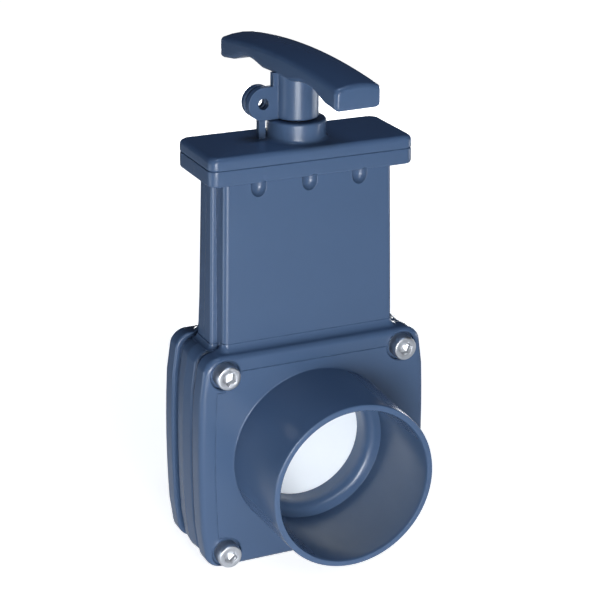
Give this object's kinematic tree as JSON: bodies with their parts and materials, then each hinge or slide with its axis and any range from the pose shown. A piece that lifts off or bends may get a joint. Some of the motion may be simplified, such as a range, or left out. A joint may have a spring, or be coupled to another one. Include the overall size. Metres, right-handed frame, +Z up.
{
  "type": "knife gate valve",
  "caption": "Plastic knife gate valve with solvent-weld pipe sockets, two bolted body halves, a tall gate chamber and a push-pull T handle with locking ears.",
  "frame": {"origin": "on the ground, under the middle of the body: the bottom centre of the bounding box", "axes": "+X across the flange plates, +Y along the pipe from the front socket to the rear one, +Z up the stem"},
  "size_m": [0.1, 0.1144, 0.2075],
  "materials": {
    "pvc": "satin moulded rigid vinyl, blue-grey",
    "rubber": "matte black",
    "gate_plastic": "smooth natural white",
    "stainless": "bright",
    "brass": "turned"
  },
  "bodies": {
    "valve": {"front_body": "pvc", "rear_body": "pvc", "body_gasket": "rubber", "front_seat_seal": "rubber", "rear_seat_seal": "rubber", "bonnet": "pvc", "bonnet_gasket": "rubber", "gland_bush": "gate_plastic", "lower_oring": "rubber", "oring_spacer": "gate_plastic", "upper_oring": "rubber", "wiper_ring": "rubber", "body_screws": "stainless", "body_nuts": "stainless", "front_bonnet_screws": "stainless", "rear_bonnet_screws": "stainless"},
    "gate_and_stem": {"gate": "gate_plastic", "gate_pin": "stainless", "stem": "stainless", "handle": "pvc", "handle_insert": "brass"}
  },
  "joints": [
    {"name": "gate_lift", "type": "slide", "parent": "valve", "child": "gate_and_stem", "axis": [0, 0, 1], "range_m": [0, 0.0565]}
  ]
}
